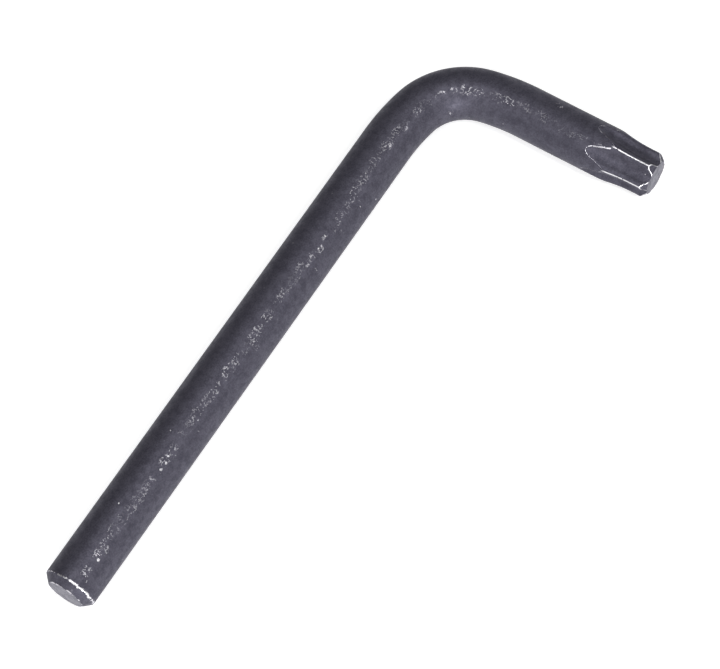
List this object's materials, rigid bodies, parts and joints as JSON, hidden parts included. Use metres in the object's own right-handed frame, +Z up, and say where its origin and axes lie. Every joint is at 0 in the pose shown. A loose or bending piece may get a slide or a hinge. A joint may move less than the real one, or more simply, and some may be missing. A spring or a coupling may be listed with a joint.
{
  "type": "star-drive key",
  "caption": "L-shaped star-drive key of round black steel bar: six-lobe star on the short arm, chamfered plain end on the long arm.",
  "frame": {"origin": "bottom centre of the whole key's box, as it lies flat on its side", "axes": "+X along the long arm towards its plain end, +Y along the short arm towards its star end, +Z up, square to the plane of the bend"},
  "size_m": [0.0644, 0.0258, 0.005],
  "materials": {
    "blackened_steel": "black oxide over a fine scaly skin, with small bright specks and worn bright edges"
  },
  "bodies": {
    "root": {"star_key": "blackened_steel"}
  },
  "joints": []
}
